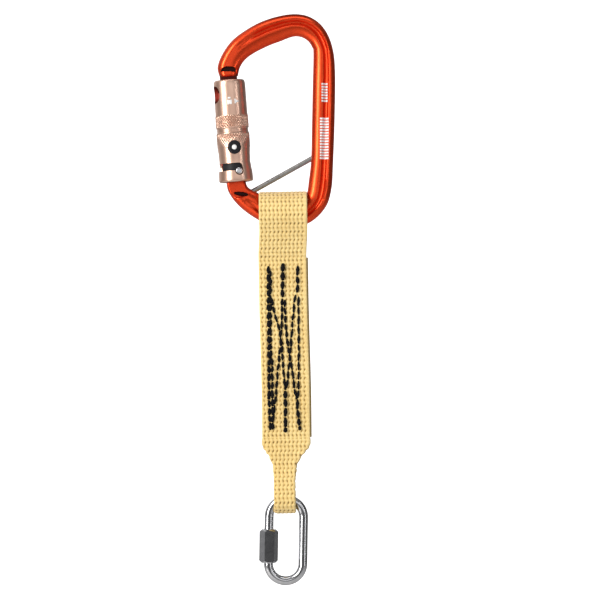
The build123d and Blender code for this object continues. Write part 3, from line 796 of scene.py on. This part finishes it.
def slot_shade_sheet():
    """A thin near-black sheet inside the sleeve's lower end: painted shade that shows through the guide slot.
    """
    steps = 40
    verts, faces = [], []
    for start, stop in ((-152.0, -28.0), (28.0, 152.0)):
        base = len(verts)
        for k in range(steps + 1):
            azimuth = start + (stop - start) * k / steps
            verts += [gate_point(r, azimuth, height) for r, height in SHADE_SHEET_SECTION]
        faces += join_rings(steps + 1, 4, base)
        faces.append((base, base + 3, base + 2, base + 1))
        end = base + 4 * steps
        faces.append((end, end + 1, end + 2, end + 3))
    obj = new_object("sleeve_slot_shade_sheet", verts, faces)
    outward(obj)
    obj.data.set_sharp_from_angle(angle=math.radians(40))
    return finish_piece(obj, SLOT_PAINTED_SHADE, "gate_body")


slot_shade_sheet()

# ---------------------------------------------------------------- forged body with its I-shaped section
OUTER = [(-42.0, -13.1), (-43.2, -7.2), (-39.9, 0.9), (-33.6, 8.6), (-22.1, 16.1), (-11.0, 20.2),
         (-0.4, 21.7), (8.2, 19.8), (15.2, 14.0), (19.7, 4.4), (21.4, -9.0), (21.2, -35.0), (20.3, -61.0),
         (19.4, -74.4), (16.2, -84.4), (8.0, -92.6), (-3.4, -96.0), (-14.0, -94.4), (-22.6, -90.4),
         (-31.6, -83.6), (-37.4, -75.6), (-38.5, -67.7)]
SEAT = [(9.4 * math.cos(math.radians(d)), 9.4 * math.sin(math.radians(d))) for d in (112, 90, 68, 45, 22, -1)]
INNER_EDGE = [(-32.0, -12.4), (-30.8, -7.5), (-27.6, -3.0), (-22.0, 0.9), (-14.3, 4.6), (-8.9, 6.6), *SEAT,
              (9.0, -20.0), (8.6, -40.0), (8.2, -58.0), (6.9, -70.0), (5.6, -77.4), (1.6, -81.4), (-7.5, -83.4),
              (-16.4, -80.6), (-20.9, -76.7), (-24.2, -75.0), (-26.6, -73.2), (-27.6, -70.6), (-27.7, -67.7)]
# the index on the inner edge that faces each point of the outer edge
FACING = [0.0, 1.0, 1.75, 2.4, 3.9, 5.3, 7.0, 8.0, 9.0, 10.2, 11.4, 12.8, 14.15, 15.2, 15.95, 16.6, 17.5, 18.4,
          19.3, 21.0, 22.4, 24.0]
NOSE_STEP, END_STEP, BODY_STEP = 0.28, 0.45, 0.9
FIRST_FOOT_SPAN = 18        # the spans of the outer edge from here on are the foot
ACROSS = 46
BAR_HALF = 4.5
ROUND_IN, ROUND_OUT = 0.50, 0.36        # the rounded shares of the bar's width
GROOVE_AT, GROOVE_HALF, GROOVE_DEPTH = 0.60, 2.2, 1.75
GROOVE_START, GROOVE_EASE_IN, GROOVE_EASE_OUT = 14, 16, 14
NOSE_AT, NOSE_WIDE = 0.48, 0.36         # the nose's recess, in shares of the width
NOSE_LEVEL, NOSE_TALL, NOSE_FLOOR = -10.1, 2.7, 2.7
NOSE_ROUND, NOSE_SQUEEZE = 0.9, 0.10
FOOT_X, FOOT_Z, FOOT_WIDE, FOOT_TALL, FOOT_FLOOR = -30.1, -77.2, 4.0, 1.05, 2.2
TANG_HALF, TANG_RADIUS, TANG_EASE = 3.1, 11.5, 0.4


def smooth_at(points, at):
    """A Catmull-Rom curve through points, read at a fractional index."""
    i = min(int(at), len(points) - 2)
    t = at - i
    p = [points[max(i - 1, 0)], points[i], points[i + 1], points[min(i + 2, len(points) - 1)]]
    out = []
    for k in (0, 1):
        a, b, c, d = (q[k] for q in p)
        out.append(0.5 * (2 * b + (c - a) * t + (2 * a - 5 * b + 4 * c - d) * t * t
                          + (3 * b - a - 3 * c + d) * t ** 3))
    return out


def bar_depth(a, width, groove, x, z):
    """Half the bar's depth at a mm from its inner edge, and the painted shade there: 1 in the nose's recess and
    in the lens at the end of the tang's pocket.
    """
    r_in, r_out = ROUND_IN * width, ROUND_OUT * width
    if a < r_in:
        y = BAR_HALF * math.sqrt(max(0.0, 1 - (1 - a / r_in) ** 2))
    elif a > width - r_out:
        y = BAR_HALF * math.sqrt(max(0.0, 1 - (1 - (width - a) / r_out) ** 2))
    else:
        y = BAR_HALF
    off = (a - GROOVE_AT * width) / GROOVE_HALF
    if abs(off) < 1:
        y = min(y, BAR_HALF - groove * 0.5 * (1 + math.cos(math.pi * off)))
    dark = 0.0
    # the nose's recess is cut lower and painted as shadow
    nose = ((a / width - NOSE_AT) / NOSE_WIDE) ** 2 + ((z - NOSE_LEVEL) / NOSE_TALL) ** 2
    if z > NOSE_LEVEL and nose < 1 and x < -25:
        y, dark = min(y, NOSE_FLOOR), 1.0
    # the lens at the end of the tang's pocket is cut lower and painted as shadow
    dx, dz = x - FOOT_X, z - FOOT_Z
    lens = ((dx - 0.2 * dz) / FOOT_WIDE) ** 2 + ((dz + 0.12 * dx) / FOOT_TALL) ** 2
    if lens < 1:
        y, dark = min(y, FOOT_FLOOR), 1.0
    near = math.hypot(x - TANG_X, z - TANG_Z)
    if near < TANG_RADIUS + TANG_EASE:
        flat = TANG_HALF + (BAR_HALF - TANG_HALF) * max(0.0, (near - TANG_RADIUS) / TANG_EASE)
        y = min(y, flat)
    return y, dark


def edge_stations():
    """Facing points of the outer and the inner edge, closest together at the nose and the foot."""
    out = []
    for i, (a, b) in enumerate(zip(FACING, FACING[1:])):
        gap = math.dist(smooth_at(OUTER, i), smooth_at(OUTER, i + 1))
        near_end = i == 1 or i >= FIRST_FOOT_SPAN
        step = NOSE_STEP if i == 0 else (END_STEP if near_end else BODY_STEP)
        steps = max(4, round(gap / step))
        for k in range(steps):
            t = k / steps
            out.append((smooth_at(OUTER, i + t), smooth_at(INNER_EDGE, a + (b - a) * t)))
    return out + [(OUTER[-1], INNER_EDGE[-1])]


def forging():
    """The bent bar as one closed skin from the nose to the tang."""
    stations = edge_stations()
    along = [0.0]
    for (o0, n0), (o1, n1) in zip(stations, stations[1:]):
        along.append(along[-1] + (math.dist(o0, o1) + math.dist(n0, n1)) / 2)
    verts, dark = [], []
    for (outer, inner), s in zip(stations, along):
        width = math.dist(outer, inner)
        groove = (GROOVE_DEPTH * clamp((s - GROOVE_START) / GROOVE_EASE_IN)
                  * clamp((along[-1] - GROOVE_START - s) / GROOVE_EASE_OUT))
        squeeze = 1 - NOSE_SQUEEZE * (1 - min(s, NOSE_ROUND) / NOSE_ROUND) ** 2
        for side in (-1, 1):
            for k in range(ACROSS + 1):
                if side > 0 and k in (0, ACROSS):
                    continue
                w = 0.5 - 0.5 * math.cos(math.pi * k / ACROSS)
                w = w if side < 0 else 1 - w
                x = inner[0] + (outer[0] - inner[0]) * w
                z = inner[1] + (outer[1] - inner[1]) * w
                y, shade = bar_depth(w * width, width, groove, x, z)
                verts.append(Vector((x, side * y * squeeze, z)))
                dark.append(shade)
    ring = 2 * ACROSS
    faces = join_rings(len(stations), ring) + end_caps(len(stations), ring)
    obj = new_object("carabiner_forging", verts, faces)
    outward(obj)
    # the painted shade of the nose's recess and the foot's lens goes to the shade attribute
    point_values(obj, "shade", dark)
    obj.data.set_sharp_from_angle(angle=math.radians(50))
    return finish_piece(obj, RED, "carabiner")


body = forging()
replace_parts(body, "carabiner_body")


def block(name, x0, x1, half_y, s0, s1, radius):
    """A rounded block about the gate's axis, between two heights along it."""
    verts = []
    for s in (s0, s1):
        for x, y in ((x0, -half_y), (x1, -half_y), (x1, half_y), (x0, half_y)):
            verts.append(TANG + G_RIGHT * x + BACK * y + G_UP * s)
    faces = [(0, 3, 2, 1), (4, 5, 6, 7), (0, 1, 5, 4), (1, 2, 6, 5), (2, 3, 7, 6), (3, 0, 4, 7)]
    obj = new_object(name, verts, faces, False)
    with edited(obj) as bm:
        bmesh.ops.bevel(bm, geom=bm.edges[:], offset=radius * MM, segments=4, profile=0.5, affect="EDGES")
    all_smooth(obj)
    return finish_piece(obj, KEY_PAINTED_SHADE, "carabiner")


# the key's head, neck and shoulder all take the painted shade
block("nose_key_head", -4.0, 3.2, 3.2, 46.8, 49.6, 0.5)
block("nose_key_neck", -4.0, 3.2, 1.7, 49.0, 53.4, 0.3)
block("nose_key_shoulder", -4.9, 4.5, 2.9, 53.2, 56.6, 0.4)

# ---------------------------------------------------------------- plain marks on the spine
SPINE_TOP, SPINE_END = (9.4, -0.2), (8.2, -58.0)        # the spine's straight inner edge
SPINE_OUTER = [(-61.0, 20.3), (-35.0, 21.2), (-9.0, 21.4)]
MARK_FIELDS = ((-16.5, -27.0, 13.9, 17.2), (-35.5, -58.0, 13.0, 17.8))      # top, bottom, left, right
MARK_TALL, MARK_PITCH, MARK_STEPS = 0.95, 1.55, 16
MARK_PROUD, MARK_SUNK = 0.14, -0.20


def spine_front(x, z):
    """The depth of the spine's front face at a point, in the run between its seat and its foot."""
    (x_top, z_top), (x_end, z_end) = SPINE_TOP, SPINE_END
    inner = x_top + (x_end - x_top) * (z - z_top) / (z_end - z_top)
    outer = lerp_table(SPINE_OUTER, z)
    return bar_depth(x - inner, outer - inner, GROOVE_DEPTH, x, z)[0]


def spine_marks():
    """Rows of thin bars that follow the spine's front."""
    verts, faces = [], []
    half = 2 * (MARK_STEPS + 1)
    for top, bottom, left, right in MARK_FIELDS:
        z = top
        while z > bottom:
            base = len(verts)
            for lift in (MARK_PROUD, MARK_SUNK):
                for k in range(MARK_STEPS + 1):
                    x = left + (right - left) * k / MARK_STEPS
                    for dz in (0.0, -MARK_TALL):
                        verts.append(Vector((x, -spine_front(x, z + dz) - lift, z + dz)))
            for k in range(MARK_STEPS):
                a = base + 2 * k
                faces.append((a, a + 1, a + 3, a + 2))
                faces.append((a + half, a + half + 2, a + half + 3, a + half + 1))
                faces.append((a, a + 2, a + half + 2, a + half))
                faces.append((a + 1, a + half + 1, a + half + 3, a + 3))
            faces.append((base, base + half, base + half + 1, base + 1))
            e = base + 2 * MARK_STEPS
            faces.append((e, e + 1, e + half + 1, e + half))
            z -= MARK_PITCH
    obj = new_object("spine_plain_marks", verts, faces, False)
    outward(obj)
    return finish_piece(obj, WHITE, "carabiner")


spine_marks()

# ---------------------------------------------------------------- camera, light and backdrop
PIXEL = 0.5495                  # mm to each of the photo's pixels
PHOTO_SIZE = 600
ORIGIN_PIXEL = (296.2, 53.6)    # where the frame's origin is in the photo
SENSOR = 36.0
DISTANCE = 1.5
FLOOR_DROP, FLOOR_HALF = 0.35, 2.2
BACKDROP_HALF, BACKDROP_TOP = 0.75, 0.5
AIM = (0, 0, -0.13)

half_photo = PHOTO_SIZE / 2
centre = Vector(((half_photo - ORIGIN_PIXEL[0]) * PIXEL, 0, (ORIGIN_PIXEL[1] - half_photo) * PIXEL)) * MM
camera_data = bpy.data.cameras.new("camera")
camera = bpy.data.objects.new("camera", camera_data)
bpy.context.collection.objects.link(camera)
camera.location = centre + Vector((0, -DISTANCE, 0))
camera.rotation_euler = (math.radians(90), 0, 0)
camera_data.sensor_width = SENSOR
camera_data.lens = SENSOR * DISTANCE / (PHOTO_SIZE * PIXEL * MM)
camera_data.clip_start = 0.05
camera_data.clip_end = 20
bpy.context.scene.camera = camera


def paper(name, glow):
    n = Nodes(name)
    fibres = n.noise(30.0, 2.0)
    tone = n.ramp(fibres, "Fac", [(0.3, (0.80, 0.80, 0.80)), (0.7, (0.82, 0.82, 0.82))])
    n.link(tone, "Color", n.bsdf, "Base Color")
    n.set(Roughness=0.95, Emission_Color=(1, 1, 1, 1), Emission_Strength=glow)
    return n.mat


def sheet_of_paper(name, profile, half, material):
    """A wide strip of paper along a profile of two points (y, z) in metres."""
    verts = [Vector((x, y, z)) / MM for y, z in profile for x in (-half, half)]
    obj = new_object(name, verts, [(0, 1, 3, 2)])
    obj.data.materials.append(material)


floor_z = CAD_BOX[0][2] - FLOOR_DROP
sheet_of_paper("floor", [(-FLOOR_HALF, floor_z), (FLOOR_HALF, floor_z)], FLOOR_HALF, paper("pale_floor", 0.0))
sheet_of_paper("backdrop", [(FLOOR_HALF, floor_z), (FLOOR_HALF, BACKDROP_TOP)], BACKDROP_HALF,
               paper("white_paper", 1.0))


def area(name, place, size, power, colour=(1, 1, 1)):
    """A soft light aimed at the object's upper half."""
    data = bpy.data.lights.new(name, "AREA")
    data.shape = "RECTANGLE"
    data.size, data.size_y = size
    data.energy = power
    data.color = colour
    light = bpy.data.objects.new(name, data)
    bpy.context.collection.objects.link(light)
    light.location = place
    light.rotation_euler = (Vector(AIM) - Vector(place)).to_track_quat("-Z", "Y").to_euler()


area("key_left", (-0.85, -0.80, 0.15), (0.26, 1.3), 15.0, (1.0, 0.98, 0.94))
area("fill_right", (0.8, -0.7, 0.0), (0.10, 1.0), 1.6)
area("top", (0.0, -0.35, 0.9), (0.9, 0.3), 2.5)
area("front", (0.25, -1.7, 0.3), (1.3, 0.9), 3.6)

# the room: a grey that goes through light and dark from left to right, for the metal to reflect
ROOM_GREYS = [(0.0, 0.25), (0.10, 0.85), (0.26, 0.95), (0.38, 0.16), (0.62, 0.12), (0.78, 0.42), (0.90, 0.12),
              (1.0, 0.2)]
ROOM_STRENGTH = 0.8
world = bpy.data.worlds.new("studio")
bpy.context.scene.world = world
world.use_nodes = True
tree = world.node_tree
background = tree.nodes["Background"]
where = tree.nodes.new("ShaderNodeTexCoord")
split = tree.nodes.new("ShaderNodeSeparateXYZ")
ramp = tree.nodes.new("ShaderNodeValToRGB")
tree.links.new(where.outputs["Generated"], split.inputs[0])
centred = tree.nodes.new("ShaderNodeMapRange")
centred.inputs["From Min"].default_value = -1.0
tree.links.new(split.outputs["X"], centred.inputs["Value"])
tree.links.new(centred.outputs["Result"], ramp.inputs["Fac"])
fill_ramp(ramp, [(at, (grey, grey, grey)) for at, grey in ROOM_GREYS])
tree.links.new(ramp.outputs["Color"], background.inputs["Color"])
background.inputs["Strength"].default_value = ROOM_STRENGTH

bpy.context.scene.view_settings.view_transform = "Standard"
